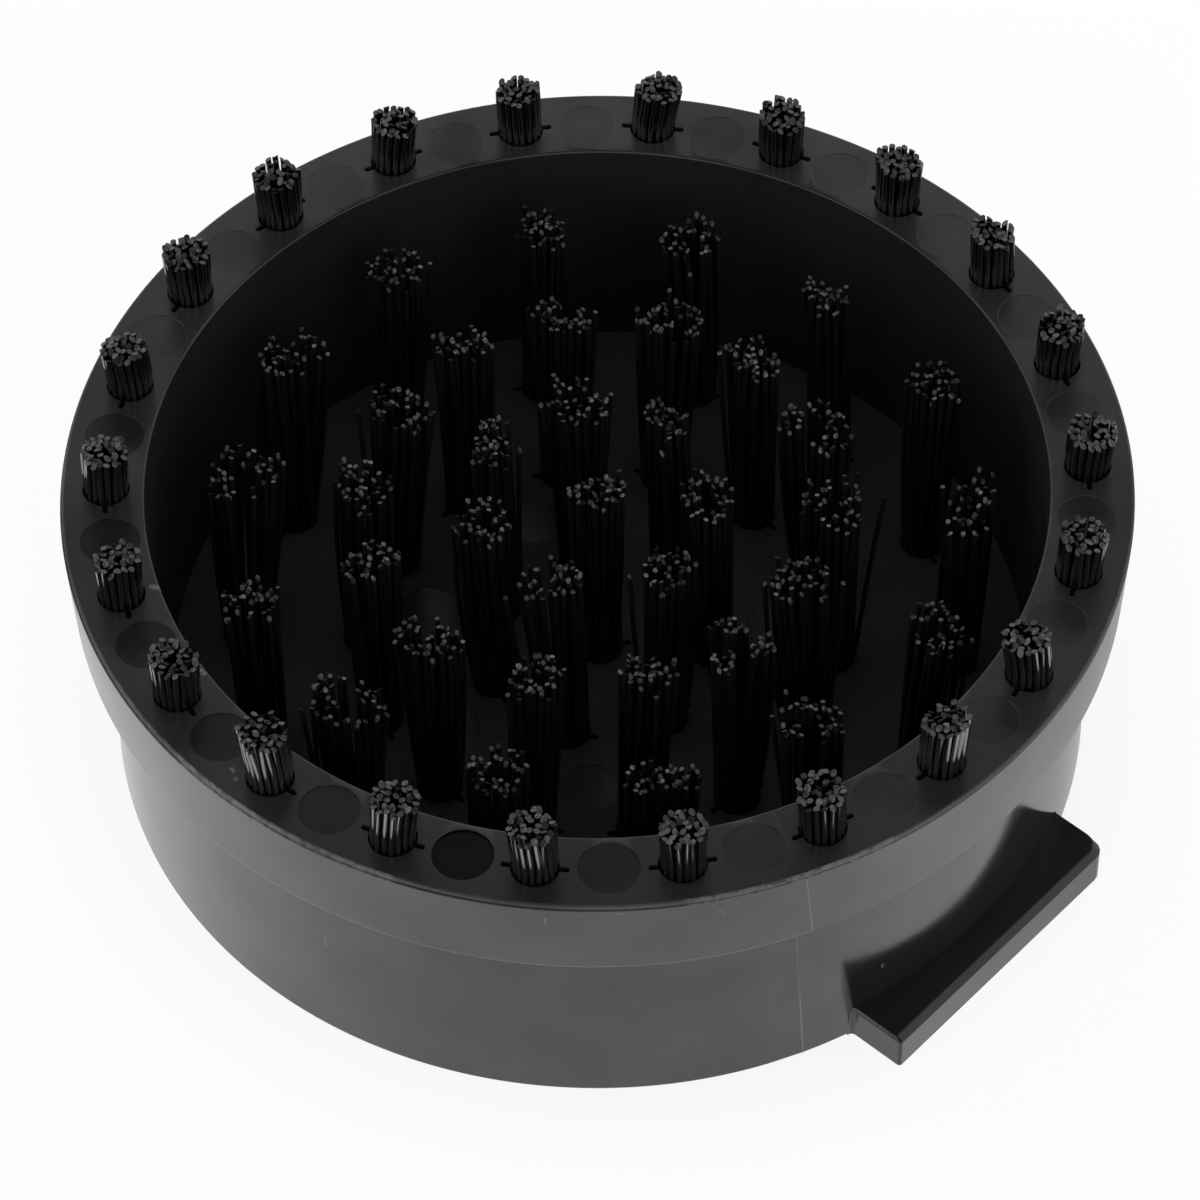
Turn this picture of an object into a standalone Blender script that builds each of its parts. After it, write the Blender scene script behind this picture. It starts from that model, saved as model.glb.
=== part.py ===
"""Espresso group head brush: a moulded cup whose rim and floor carry tufts of stiff bristles.

Metres, +Z up. The brush stands on its flat base with its mouth upwards, as on a bench. The origin
is on the cup's axis at the base, and the grip lug points along +X.
"""

import math
import random
from collections import namedtuple

import bmesh
import bpy
from mathutils import Matrix, Vector
from mathutils.geometry import tessellate_polygon

# The cup's moulding
RIM_RADIUS = 0.0350
CUP_HEIGHT = 0.0226
RIM_OUTER_WALL = 0.0014
RIM_INNER_WALL = 0.0009
RIM_CHAMFER = 0.0003
SKIRT_HEIGHT = 0.0066
SKIRT_DRAFT = 0.0003
SKIRT_STEP = 0.0021
DRUM_DRAFT = 0.0002
MOUTH_DRAFT = 0.0008
FLOOR_FILLET = 0.0010
FLOOR_SKIN = 0.0015

# The grip lug: a straight bar at the foot of the drum, whose middle is shifted a little to +Y
LUG_REACH = 0.0024
LUG_LENGTH = 0.0211
LUG_SHIFT = 0.0004
LUG_THICKNESS = 0.0028
LUG_CHAMFER = 0.0003

# The tufts' rings: how many tufts, the inner ring's radius, and the outer ring's place by the wall
RIM_TUFTS = 22
OUTER_TUFTS = 14
MIDDLE_TUFTS = 14
INNER_TUFTS = 7
INNER_PITCH = 0.0076
WALL_TO_OUTER = 0.0047
TUFT_START = math.radians(141.5)

# One tuft: a folded bundle pinned in its hole by a flat wire anchor
BUNDLE_RADIUS = 0.0013
FOLD_THICKNESS = 0.0005
CROWN_THICKNESS = 0.0010
STRAND_RADIUS = 0.00024
RIM_STRANDS = 7
FLOOR_STRANDS = 8
CROWN_EDGE = 0.00006
RIM_TUFT_HEIGHT = 0.0039
TIP_DEPTH = 0.0012
RIM_TUFT_SPREAD = 0.00055
FLOOR_TUFT_SPREAD = 0.00090
TIP_SWAY = 0.00010
RAGGED = 0.0003

# The anchor, and the gap that neighbouring pieces keep
ANCHOR_THICKNESS = 0.00035
ANCHOR_HEIGHT = 0.0018
ANCHOR_BITE = 0.00045
GAP = 0.0003

# How finely round shapes are cut
CUP_SEGMENTS = 72
FILLET_STEPS = 3
SEED = 58

# Sizes that follow from those above
HOLE_RADIUS = BUNDLE_RADIUS + GAP
ANCHOR_HALF_LENGTH = HOLE_RADIUS + ANCHOR_BITE
SLIT_WIDTH = ANCHOR_THICKNESS + 2 * GAP
BUNDLE_DEPTH = FOLD_THICKNESS + ANCHOR_HEIGHT + CROWN_THICKNESS
HOLE_DEPTH = GAP + BUNDLE_DEPTH
FLOOR_TOP = FLOOR_SKIN + HOLE_DEPTH
RIM_WIDTH = RIM_OUTER_WALL + 2 * HOLE_RADIUS + RIM_INNER_WALL
MOUTH_RADIUS = RIM_RADIUS - RIM_WIDTH
FLOOR_RADIUS = MOUTH_RADIUS - MOUTH_DRAFT
SKIRT_RADIUS = RIM_RADIUS - SKIRT_DRAFT
SKIRT_FOOT = CUP_HEIGHT - SKIRT_HEIGHT
DRUM_RADIUS = SKIRT_RADIUS - SKIRT_STEP
DRUM_FOOT_RADIUS = DRUM_RADIUS + DRUM_DRAFT
RIM_PITCH = RIM_RADIUS - RIM_OUTER_WALL - HOLE_RADIUS
OUTER_PITCH = FLOOR_RADIUS - WALL_TO_OUTER
MIDDLE_PITCH = (OUTER_PITCH + INNER_PITCH) / 2
FLOOR_TUFT_HEIGHT = CUP_HEIGHT - TIP_DEPTH - FLOOR_TOP

Ring = namedtuple("Ring", "name tufts pitch surface height strands spread")
RIM_RING = Ring(
    "rim_tuft", RIM_TUFTS, RIM_PITCH, CUP_HEIGHT, RIM_TUFT_HEIGHT, RIM_STRANDS, RIM_TUFT_SPREAD
)


def floor_ring(name, tufts, pitch):
    return Ring(name, tufts, pitch, FLOOR_TOP, FLOOR_TUFT_HEIGHT, FLOOR_STRANDS, FLOOR_TUFT_SPREAD)


RINGS = (
    RIM_RING,
    floor_ring("outer_tuft", OUTER_TUFTS, OUTER_PITCH),
    floor_ring("middle_tuft", MIDDLE_TUFTS, MIDDLE_PITCH),
    floor_ring("inner_tuft", INNER_TUFTS, INNER_PITCH),
    floor_ring("centre_tuft", 1, 0.0),
)


def clear_scene():
    for obj in list(bpy.data.objects):
        bpy.data.objects.remove(obj, do_unlink=True)


def plain_material(name, color, roughness, metallic):
    material = bpy.data.materials.new(name)
    material.use_nodes = True
    shader = material.node_tree.nodes["Principled BSDF"]
    shader.inputs["Base Color"].default_value = (*color, 1.0)
    shader.inputs["Roughness"].default_value = roughness
    shader.inputs["Metallic"].default_value = metallic
    return material


def add_object(name, bm, material=None):
    """Turns a bmesh into an object with its faces pointing out."""
    bmesh.ops.recalc_face_normals(bm, faces=bm.faces)
    mesh = bpy.data.meshes.new(name)
    bm.to_mesh(mesh)
    bm.free()
    if material:
        mesh.materials.append(material)
    obj = bpy.data.objects.new(name, mesh)
    bpy.context.scene.collection.objects.link(obj)
    return obj


def add_boolean(target, tool, operation):
    """Joins or cuts with a tool that is hidden from the render."""
    modifier = target.modifiers.new(tool.name, "BOOLEAN")
    modifier.operation = operation
    modifier.solver = "EXACT"
    modifier.object = tool
    tool.hide_render = True
    tool.display_type = "WIRE"


def loft(bm, sections):
    """Skins closed sections of equally many points, and caps both ends."""
    rings = [[bm.verts.new(point) for point in section] for section in sections]
    for lower, upper in zip(rings, rings[1:]):
        for i, corner in enumerate(lower):
            after = (i + 1) % len(lower)
            bm.faces.new((corner, lower[after], upper[after], upper[i]))
    bm.faces.new(rings[0])
    bm.faces.new(rings[-1])


def tuft_places():
    """Every tuft's name, its ring, and its frame: +Z up its hole and +X along its anchor."""
    places = []
    for ring in RINGS:
        for number in range(ring.tufts):
            name = f"{ring.name}_{number + 1:02d}" if ring.tufts > 1 else ring.name
            angle = TUFT_START - number * 2 * math.pi / ring.tufts
            turn = Matrix.Rotation(angle, 4, "Z")
            seat = Matrix.Translation((ring.pitch, 0, ring.surface))
            tangent = Matrix.Rotation(math.pi / 2, 4, "Z")
            places.append((name, ring, turn @ seat @ tangent))
    return places


def turned_circle(radius, height):
    step = 2 * math.pi / CUP_SEGMENTS
    return [
        (radius * math.cos(i * step), radius * math.sin(i * step), height)
        for i in range(CUP_SEGMENTS)
    ]


def cup_profile():
    """The cup's half section, from the base's edge up the outside and down to the floor's edge."""
    points = [
        (DRUM_FOOT_RADIUS, 0.0),
        (DRUM_RADIUS, SKIRT_FOOT),
        (SKIRT_RADIUS, SKIRT_FOOT),
        (RIM_RADIUS, CUP_HEIGHT - RIM_CHAMFER),
        (RIM_RADIUS - RIM_CHAMFER, CUP_HEIGHT),
        (MOUTH_RADIUS + RIM_CHAMFER / 2, CUP_HEIGHT),
        (MOUTH_RADIUS, CUP_HEIGHT - RIM_CHAMFER / 2),
    ]
    for step in range(FILLET_STEPS + 1):
        angle = math.pi / 2 * step / FILLET_STEPS
        radius = FLOOR_RADIUS - FLOOR_FILLET * (1 - math.cos(angle))
        height = FLOOR_TOP + FLOOR_FILLET * (1 - math.sin(angle))
        points.append((radius, height))
    return points


def lug_section(along):
    """The lug's outline at one end: it starts inside the cup's base, and its outer face is flat."""
    inside = math.sqrt(FLOOR_RADIUS**2 - along**2)
    face = DRUM_FOOT_RADIUS + LUG_REACH
    points = [
        (inside, 0.0),
        (face, 0.0),
        (face, LUG_THICKNESS - LUG_CHAMFER),
        (face - LUG_CHAMFER, LUG_THICKNESS),
        (inside, LUG_THICKNESS),
    ]
    return [(out, along, up) for out, up in points]


def make_lug():
    bm = bmesh.new()
    loft(bm, [lug_section(LUG_SHIFT + side * LUG_LENGTH / 2) for side in (-1, 1)])
    return add_object("lug_shape", bm)


def round_outline(radius, flat):
    """Eight corners on a circle, whose sides at +X and -X have the given width."""
    beside_anchor = math.asin(flat / 2 / radius)
    beside_middle = math.radians(67.5)
    quarter = [beside_anchor, beside_middle]
    angles = quarter + [math.pi - a for a in reversed(quarter)]
    angles += [a + math.pi for a in angles]
    return [Vector((radius * math.cos(a), radius * math.sin(a))) for a in angles]


def hole_outline():
    """The drilled hole, with the two slits that the anchor's ends cut into its wall."""
    reach = ANCHOR_HALF_LENGTH + GAP
    outline = []
    for i, corner in enumerate(round_outline(HOLE_RADIUS, SLIT_WIDTH)):
        beside = Vector((math.copysign(reach, corner.x), corner.y))
        if i in (0, 4):
            outline += [beside, corner]
        elif i in (3, 7):
            outline += [corner, beside]
        else:
            outline.append(corner)
    return outline


def make_hole_cutters(places):
    """One cutter for every tuft's hole, which runs past the surface it is drilled into."""
    bm = bmesh.new()
    outline = hole_outline()
    for _, _, frame in places:
        levels = (-HOLE_DEPTH, HOLE_DEPTH / 2)
        loft(bm, [[frame @ Vector((*p, level)) for p in outline] for level in levels])
    return add_object("tuft_holes", bm)


def make_cup(places, material):
    bm = bmesh.new()
    loft(bm, [turned_circle(radius, height) for radius, height in cup_profile()])
    cup = add_object("cup_body", bm, material)
    add_boolean(cup, make_lug(), "UNION")
    add_boolean(cup, make_hole_cutters(places), "DIFFERENCE")
    cup.data.shade_smooth()
    cup.data.set_sharp_from_angle(angle=math.radians(30))
    return cup


def add_bundle(bm):
    """The folded bundle's sides and fold, with the anchor's ends standing out of it at +X and -X.

    Corners 7 and 0 stand either side of the anchor at +X, and corners 3 and 4 at -X. Returns the
    corners of the bundle's crown, which the strands then stand on.
    """
    corners = round_outline(BUNDLE_RADIUS, ANCHOR_THICKNESS)
    anchor_low = FOLD_THICKNESS - BUNDLE_DEPTH
    anchor_high = anchor_low + ANCHOR_HEIGHT
    low = [bm.verts.new((*c, -BUNDLE_DEPTH)) for c in corners]
    high = [bm.verts.new((*c, 0.0)) for c in corners]
    neighbours = ((0, 1), (3, 2), (4, 5), (7, 6))
    under = {i: bm.verts.new((*corners[i], anchor_low)) for i, _ in neighbours}
    over = {i: bm.verts.new((*corners[i], anchor_high)) for i, _ in neighbours}
    bm.faces.new(low)
    for beside, plain in neighbours:
        bm.faces.new((low[beside], low[plain], under[beside]))
        bm.faces.new((under[beside], low[plain], over[beside]))
        bm.faces.new((over[beside], low[plain], high[plain]))
        bm.faces.new((over[beside], high[plain], high[beside]))
    for first, second in ((1, 2), (5, 6)):
        bm.faces.new((low[first], low[second], high[second], high[first]))
    for first, second in ((3, 4), (7, 0)):
        bm.faces.new((low[first], low[second], under[second], under[first]))
        bm.faces.new((over[first], over[second], high[second], high[first]))
        root = (under[first], under[second], over[second], over[first])
        end = [bm.verts.new(vert.co) for vert in root]
        for vert in end:
            vert.co.x = math.copysign(ANCHOR_HALF_LENGTH, vert.co.x)
        for i in range(4):
            after = (i + 1) % 4
            bm.faces.new((root[i], root[after], end[after], end[i]))
        bm.faces.new(end)
    return high


def strand_spots(count):
    """Where strands leave the crown: one in the middle, and the rest in a ring inside its edge."""
    corners = round_outline(BUNDLE_RADIUS, ANCHOR_THICKNESS)
    crown = min((a + b).length / 2 for a, b in zip(corners, corners[1:]))
    ring = crown - CROWN_EDGE - STRAND_RADIUS
    step = 2 * math.pi / (count - 1)
    around = [
        Vector((ring * math.cos(i * step), ring * math.sin(i * step))) for i in range(count - 1)
    ]
    return [Vector((0.0, 0.0))] + around


def strand_corners(spot):
    turns = [2 * math.pi * i / 3 for i in range(3)]
    return [spot + STRAND_RADIUS * Vector((math.cos(a), math.sin(a))) for a in turns]


def make_tuft(name, ring, frame, material, rng):
    """A folded bundle pinned by its anchor, with its strands fused to its crown and splayed."""
    bm = bmesh.new()
    crown = [add_bundle(bm)]
    for spot in strand_spots(ring.strands):
        sway = Vector((rng.uniform(-TIP_SWAY, TIP_SWAY), rng.uniform(-TIP_SWAY, TIP_SWAY)))
        tip_spot = spot + spot.normalized() * ring.spread + sway
        tip_height = ring.height + rng.uniform(-RAGGED, RAGGED)
        foot = [bm.verts.new((*c, 0.0)) for c in strand_corners(spot)]
        tip = [bm.verts.new((*c, tip_height)) for c in strand_corners(tip_spot)]
        for i in range(3):
            after = (i + 1) % 3
            bm.faces.new((foot[i], foot[after], tip[after], tip[i]))
        bm.faces.new(tip)
        crown.append(foot)
    flat = [vert for loop in crown for vert in loop]
    for triangle in tessellate_polygon([[vert.co for vert in loop] for loop in crown]):
        bm.faces.new([flat[i] for i in triangle])
    tuft = add_object(name, bm, material)
    tuft.matrix_world = frame
    return tuft


def main():
    clear_scene()
    moulding = plain_material("black_satin_plastic", (0.018, 0.018, 0.019), 0.42, 0.0)
    bristle = plain_material("black_nylon", (0.010, 0.010, 0.011), 0.30, 0.0)
    rng = random.Random(SEED)
    places = tuft_places()
    make_cup(places, moulding)
    for name, ring, frame in places:
        make_tuft(name, ring, frame, bristle, rng)
    strands = sum(ring.tufts * ring.strands for ring in RINGS)
    print(f"{len(places)} tufts with {strands} strands in all")


main()
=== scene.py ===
# %% [markdown]
# # Espresso group head brush
# A black plastic cup that is pushed up round the group head of an espresso machine and turned by
# hand. Short tufts on its rim scrub the gasket, and long tufts inside it scrub the shower screen.
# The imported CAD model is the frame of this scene: every piece made here sits where a CAD node says,
# and rides on that node's body, so nothing has to be fitted by eye.

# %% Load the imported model
import math
import random

import bmesh
import bpy
from mathutils import Matrix, Vector


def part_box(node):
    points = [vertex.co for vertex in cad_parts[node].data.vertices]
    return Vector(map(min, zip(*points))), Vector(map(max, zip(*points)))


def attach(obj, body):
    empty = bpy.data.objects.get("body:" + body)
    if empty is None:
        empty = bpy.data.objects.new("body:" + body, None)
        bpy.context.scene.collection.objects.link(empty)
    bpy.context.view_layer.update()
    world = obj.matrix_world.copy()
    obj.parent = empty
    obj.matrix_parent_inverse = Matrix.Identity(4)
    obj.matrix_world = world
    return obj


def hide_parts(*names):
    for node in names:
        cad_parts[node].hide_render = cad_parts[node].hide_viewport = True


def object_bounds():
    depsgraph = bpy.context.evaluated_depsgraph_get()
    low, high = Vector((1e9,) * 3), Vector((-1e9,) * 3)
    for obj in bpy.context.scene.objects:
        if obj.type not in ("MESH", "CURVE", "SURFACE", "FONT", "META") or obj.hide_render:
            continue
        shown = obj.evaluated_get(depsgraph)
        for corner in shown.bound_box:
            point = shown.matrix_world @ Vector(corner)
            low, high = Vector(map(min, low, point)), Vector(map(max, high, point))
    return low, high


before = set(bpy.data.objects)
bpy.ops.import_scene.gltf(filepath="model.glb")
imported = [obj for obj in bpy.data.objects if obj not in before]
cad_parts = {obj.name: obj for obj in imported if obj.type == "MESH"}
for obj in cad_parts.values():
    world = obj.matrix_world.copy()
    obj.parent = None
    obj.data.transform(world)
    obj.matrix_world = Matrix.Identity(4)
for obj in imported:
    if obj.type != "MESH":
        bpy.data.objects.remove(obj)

cad_lowest, cad_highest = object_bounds()

# %% [markdown]
# ## Sizes
# The brush is written down in millimetres, as a maker would read it off a caliper, and a mesh is
# turned into metres when it is made. The three largest sizes come from the CAD model's own boxes, so
# this scene can't drift away from it. The rest repeats the names of the CAD source.

# %% The main sizes
MM = 0.001
cup_lowest, cup_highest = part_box("cup_body")
RIM_RADIUS = -cup_lowest.x / MM
CUP_HEIGHT = cup_highest.z / MM
LUG_FACE = cup_highest.x / MM

SKIRT_FOOT = CUP_HEIGHT - 6.6
SKIRT_RADIUS = RIM_RADIUS - 0.3
DRUM_RADIUS = SKIRT_RADIUS - 2.1
DRUM_FOOT_RADIUS = DRUM_RADIUS + 0.2
MOUTH_RADIUS = RIM_RADIUS - 5.5
FLOOR_RADIUS = MOUTH_RADIUS - 0.8
FLOOR_TOP = 5.1
print(f"rim {2 * RIM_RADIUS:.1f} mm across, cup {CUP_HEIGHT:.1f} mm high, lug to {LUG_FACE:.1f} mm")

# %% [markdown]
# ## Where the tufts stand
# A drilling machine places the tufts on circles, so a ring is a name, a count, a radius and the
# height of the surface that it is drilled into. Each tuft gets a frame of its own: +Z points up its
# hole, and +X runs along the wire anchor that pins it, which lies along the circle.

# %% Rings of tufts
FIRST_TUFT = math.radians(141.5)
HOLE_RADIUS = 1.6
RIM_PITCH = RIM_RADIUS - 1.4 - HOLE_RADIUS
OUTER_PITCH = FLOOR_RADIUS - 4.7
INNER_PITCH = 7.6
MIDDLE_PITCH = (OUTER_PITCH + INNER_PITCH) / 2
RINGS = (
    ("rim_tuft", 22, RIM_PITCH, CUP_HEIGHT),
    ("outer_tuft", 14, OUTER_PITCH, FLOOR_TOP),
    ("middle_tuft", 14, MIDDLE_PITCH, FLOOR_TOP),
    ("inner_tuft", 7, INNER_PITCH, FLOOR_TOP),
    ("centre_tuft", 1, 0.0, FLOOR_TOP),
)


def seat_on_circle(angle, radius, height):
    """A frame on a circle round the axis: +Z up, and +X along the circle."""
    turn = Matrix.Rotation(angle, 4, "Z")
    along = Matrix.Rotation(math.pi / 2, 4, "Z")
    return turn @ Matrix.Translation((radius, 0, height)) @ along


seats = {}
for ring, count, pitch, surface in RINGS:
    for number in range(count):
        node = f"{ring}_{number + 1:02d}" if count > 1 else ring
        seats[node] = seat_on_circle(FIRST_TUFT - number * math.tau / count, pitch, surface)

furthest = 0.0
for node, seat in seats.items():
    lowest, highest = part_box(node)
    gap = ((lowest + highest) / 2 / MM - seat.translation).xy.length
    furthest = max(furthest, gap)
print(f"{len(seats)} tufts, and the furthest is {furthest:.2f} mm from its CAD node's middle")

# %% [markdown]
# ## The camera
# The photograph was taken from about 37 cm away with a long lens, from 50 degrees above the bench.
# The numbers come from fitting a pinhole camera to the ellipses of the rim, the mouth and the base.
# The camera is built from its three axes, because a small roll is part of the fit.

# %% Set up the camera
FOCAL_LENGTH = 166.2
SENSOR_WIDTH = 36.0
CAMERA_DISTANCE = 370.84
CAMERA_ELEVATION = math.radians(50.317)
CAMERA_AZIMUTH = math.radians(42.6)
CAMERA_ROLL = math.radians(-0.808)
AIM_POINT = Vector((0.077, 0.0, 9.979))

backwards = Vector((0, -math.cos(CAMERA_ELEVATION), math.sin(CAMERA_ELEVATION)))
level_right = Vector((1, 0, 0))
level_up = backwards.cross(level_right)
right = math.cos(CAMERA_ROLL) * level_right + math.sin(CAMERA_ROLL) * level_up
up = math.cos(CAMERA_ROLL) * level_up - math.sin(CAMERA_ROLL) * level_right
pose = Matrix((right, up, backwards)).transposed().to_4x4()
pose.translation = (AIM_POINT + CAMERA_DISTANCE * backwards) * MM

camera_lens = bpy.data.cameras.new("photo_camera")
camera_lens.lens = FOCAL_LENGTH
camera_lens.sensor_width = SENSOR_WIDTH
camera_lens.clip_start = 0.01
camera = bpy.data.objects.new("photo_camera", camera_lens)
camera.matrix_world = Matrix.Rotation(CAMERA_AZIMUTH, 4, "Z") @ pose
bpy.context.scene.collection.objects.link(camera)
bpy.context.scene.camera = camera
bpy.context.scene.view_settings.view_transform = "Standard"
print("camera at", [round(value, 3) for value in camera.matrix_world.translation])

# %% [markdown]
# ## Nodes in a few words
# Every finish below is a small network of nodes. It could be clicked together by hand, but a script
# is easier to read, compare and reuse. A few helpers keep it short: they add a node and fill its
# sockets with numbers or with links, do a sum, map a range, make noise and mix two colours.

# %% Helpers for node networks
def add_node(tree, kind, settings=(), **sockets):
    """Adds a node. A socket's name is written with _ for a space, and takes a value or a link."""
    made = tree.nodes.new(kind)
    for name, value in dict(settings).items():
        setattr(made, name, value)
    for name, value in sockets.items():
        socket = made.inputs[name.replace("_", " ")]
        if isinstance(value, bpy.types.NodeSocket):
            tree.links.new(value, socket)
        else:
            socket.default_value = value
    return made


def calculate(tree, operation, first, second=0.0):
    made = tree.nodes.new("ShaderNodeMath")
    made.operation = operation
    for socket, value in zip(made.inputs, (first, second)):
        if isinstance(value, bpy.types.NodeSocket):
            tree.links.new(value, socket)
        else:
            socket.default_value = value
    return made.outputs[0]


def dot_product(tree, first, fixed):
    made = add_node(tree, "ShaderNodeVectorMath", {"operation": "DOT_PRODUCT"})
    tree.links.new(first, made.inputs[0])
    made.inputs[1].default_value = fixed
    return made.outputs["Value"]


def spread_to(tree, value, low, high, new_low, new_high):
    """Maps the range low to high onto another range, and stops at its ends."""
    ends = {"From_Min": low, "From_Max": high, "To_Min": new_low, "To_Max": new_high}
    return add_node(tree, "ShaderNodeMapRange", Value=value, **ends).outputs["Result"]


def noise(tree, place, scale, detail=2.0):
    """Soft noise, whose scale is in lumps to the metre."""
    return add_node(tree, "ShaderNodeTexNoise", Vector=place, Scale=scale, Detail=detail).outputs[0]


def blend_colours(tree, factor, first, second):
    made = tree.nodes.new("ShaderNodeMix")
    made.data_type = "RGBA"
    for index, value in ((0, factor), (6, first), (7, second)):
        if isinstance(value, bpy.types.NodeSocket):
            tree.links.new(value, made.inputs[index])
        else:
            made.inputs[index].default_value = value
    return made.outputs[2]


def grey(level, warmth=0.0):
    """A nearly neutral colour. Black plastic is often a touch cool, so warmth may be below zero."""
    return (level * (1 + warmth), level, level * (1 - warmth), 1.0)


# %% [markdown]
# ## The studio
# A catalogue photograph like this one is taken on white paper with large soft lamps. A black, smooth
# object shows almost only reflections: its walls look grey because they mirror the paper, and its
# rim looks nearly black because it mirrors a dim ceiling. So the studio is a white floor, a white
# sweep near the horizon and a dimmer ceiling. It could be lit with strong lamps alone, but then the
# black would turn grey before the paper turned white. So the floor's white comes from its colour and
# from the rays of the camera and of reflections. A part of it is ordinary paper, which keeps the
# shadow under the brush. In reflections the paper behind the brush is painted dimmer, by a glow that
# fades towards the back. This is a painted shadow of the brush, which would keep the light off it.

# %% Paper floor
def is_seen_ray(tree):
    """1 for rays of the camera and of reflections, and 0 for rays that gather light."""
    path = tree.nodes.new("ShaderNodeLightPath").outputs
    seen = calculate(tree, "MAXIMUM", path["Is Camera Ray"], path["Is Glossy Ray"])
    return calculate(tree, "MAXIMUM", seen, path["Is Transmission Ray"])


def mix_shaders(tree, factor, first, second):
    mixed = add_node(tree, "ShaderNodeMixShader", Fac=factor)
    tree.links.new(first.outputs[0], mixed.inputs[1])
    tree.links.new(second.outputs[0], mixed.inputs[2])
    return mixed.outputs[0]


PAPER_GLOW = 0.87
LIT_SIDE = math.radians(-58.7)
DIM_BEHIND = (-0.010, 0.43)
FULL_IN_FRONT = (0.0215, 0.97)
paper = bpy.data.materials.new("white_paper")
paper.use_nodes = True
tree = paper.node_tree
tree.nodes.clear()
matte = add_node(tree, "ShaderNodeBsdfDiffuse", Color=grey(0.93))
spot = add_node(tree, "ShaderNodeNewGeometry").outputs["Position"]
# The glow seen in reflections is painted dimmer behind the brush: a painted shadow of the brush on the
# paper.
forward = dot_product(tree, spot, (math.cos(LIT_SIDE), math.sin(LIT_SIDE), 0.0))
(dim_from, dim_level), (full_from, full_level) = DIM_BEHIND, FULL_IN_FRONT
painted_shadow_glow = spread_to(tree, forward, dim_from, full_from, dim_level, full_level)
direct = add_node(tree, "ShaderNodeLightPath").outputs["Is Camera Ray"]
strength = calculate(tree, "MAXIMUM", direct, painted_shadow_glow)
glow = add_node(tree, "ShaderNodeEmission", Color=grey(1.0), Strength=strength)
share = calculate(tree, "MULTIPLY", is_seen_ray(tree), PAPER_GLOW)
add_node(tree, "ShaderNodeOutputMaterial", Surface=mix_shaders(tree, share, matte, glow))

FLOOR_REACH = 3.0
bm = bmesh.new()
bmesh.ops.create_circle(bm, cap_ends=True, segments=64, radius=FLOOR_REACH)
floor_mesh = bpy.data.meshes.new("paper_floor")
bm.to_mesh(floor_mesh)
bm.free()
floor_mesh.materials.append(paper)
paper_floor = bpy.data.objects.new("paper_floor", floor_mesh)
bpy.context.scene.collection.objects.link(paper_floor)

# %% Soft room light
HORIZON_LIGHT = 0.95
CEILING_LIGHT = 0.04
SWEEP_TOP = 0.68
CEILING_FOOT = 0.83
room = bpy.data.worlds.new("studio")
room.use_nodes = True
bpy.context.scene.world = room
tree = room.node_tree
tree.nodes.clear()
direction = add_node(tree, "ShaderNodeTexCoord").outputs["Generated"]
height = add_node(tree, "ShaderNodeSeparateXYZ", Vector=direction).outputs["Z"]
level = spread_to(tree, height, SWEEP_TOP, CEILING_FOOT, HORIZON_LIGHT, CEILING_LIGHT)
soft_light = add_node(tree, "ShaderNodeBackground", Color=grey(1.0), Strength=level)
backdrop = add_node(tree, "ShaderNodeBackground", Color=grey(1.0), Strength=1.0)
camera_ray = add_node(tree, "ShaderNodeLightPath").outputs["Is Camera Ray"]
add_node(tree, "ShaderNodeOutputWorld", Surface=mix_shaders(tree, camera_ray, soft_light, backdrop))

# %% Soft lamps, which light the brush but aren't mirrored in it
LAMPS = (
    # name, azimuth round the brush, elevation, distance in m, width in m, watts
    ("soft_lamp_top", 0.0, 90.0, 1.4, 0.7, 7.0),
    ("soft_lamp_left", 205.0, 25.0, 1.6, 1.0, 4.5),
    ("soft_lamp_right", -20.0, 28.0, 1.6, 1.0, 4.5),
)
for name, azimuth, elevation, distance, width, watts in LAMPS:
    lamp = bpy.data.lights.new(name, "AREA")
    lamp.shape = "DISK"
    lamp.size = width
    lamp.energy = watts
    lamp_stand = bpy.data.objects.new(name, lamp)
    lamp_stand.visible_glossy = False
    around = Matrix.Rotation(math.radians(azimuth), 4, "Z")
    tilt = Matrix.Rotation(math.radians(90 - elevation), 4, "Y")
    lamp_stand.matrix_world = around @ tilt @ Matrix.Translation((0, 0, distance))
    bpy.context.scene.collection.objects.link(lamp_stand)
print(len(LAMPS), "soft lamps over a white floor")

# %% [markdown]
# ## Black plastic
# The cup is injection moulded in one black plastic, but each face of a mould is polished only as far
# as it needs to be. The outer wall is glossy enough to mirror the bench and the lug. The rim is
# satin, and the inside is matt. All are a little cloudy where the plastic cooled unevenly, with a
# fine grain, specks of dust and a few pale scuffs. Sharp edges are painted paler, partly as rubbed
# wear and partly as a painted highlight, and the seam and the skirt's foot carry a pale line that is
# a painted highlight. Pin marks in shadow get darker copies of their finish, which is painted shade.
# A procedural finish in object coordinates fits, because it covers every face at the same scale and
# needs no unwrapping. One function makes all of them, so they differ only in how dark and how rough
# they are.

# %% Scuffs, marks of use, and painted highlights along the rim's edge
RIM_SCUFFS = (
    # start and end in mm, width in mm, strength
    ((-15.1, -25.9, 22.6), (-14.5, -25.6, 22.6), 0.55, 0.9),
    ((-8.0, -28.8, 22.6), (-7.6, -28.8, 22.6), 0.45, 0.9),
    ((-0.9, -33.1, 22.6), (-0.7, -33.2, 22.6), 0.35, 0.7),
    ((-0.3, -33.4, 22.6), (-0.1, -33.5, 22.6), 0.35, 0.7),
)
WALL_SCUFFS = (
    ((31.7, -8.0, 5.6), (31.7, -8.0, 5.8), 0.30, 0.9),
    ((20.9, -28.0, 21.3), (20.9, -28.0, 20.5), 0.20, 0.8),
    ((22.0, -27.1, 21.8), (24.6, -24.8, 22.0), 0.22, 0.6),
    ((28.1, -20.7, 22.0), (28.6, -20.0, 20.7), 0.30, 0.25),
    ((5.4, -32.2, 9.9), (5.6, -32.2, 8.7), 0.16, 0.5),
)


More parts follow.
